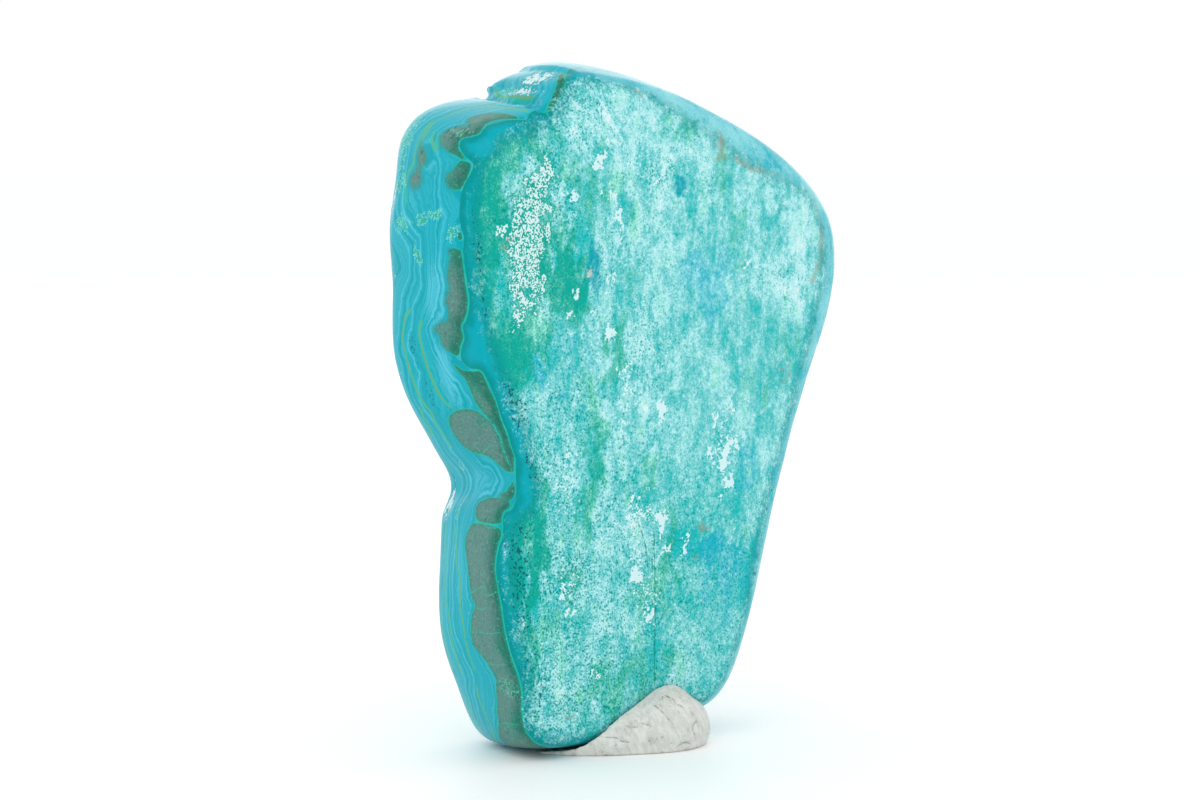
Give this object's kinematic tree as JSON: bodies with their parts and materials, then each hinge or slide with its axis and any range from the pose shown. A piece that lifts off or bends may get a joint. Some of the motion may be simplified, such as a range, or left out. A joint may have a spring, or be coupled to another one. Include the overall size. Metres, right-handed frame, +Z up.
{
  "type": "chrysocolla specimen",
  "caption": "Thick polished slab of banded chrysocolla with malachite, standing on its narrow end in a lump of putty that wedges it upright.",
  "frame": {"origin": "middle of the specimen's outline seen from above, on the surface that it stands on", "axes": "+Z up, the speckled front face looks along -Y, the banded side edge along -X"},
  "size_m": [0.0703, 0.0312, 0.0989],
  "materials": {
    "chrysocolla": "polished",
    "putty": "matte"
  },
  "bodies": {
    "root": {"chrysocolla_slab": "chrysocolla", "putty_lump": "putty"}
  },
  "joints": []
}
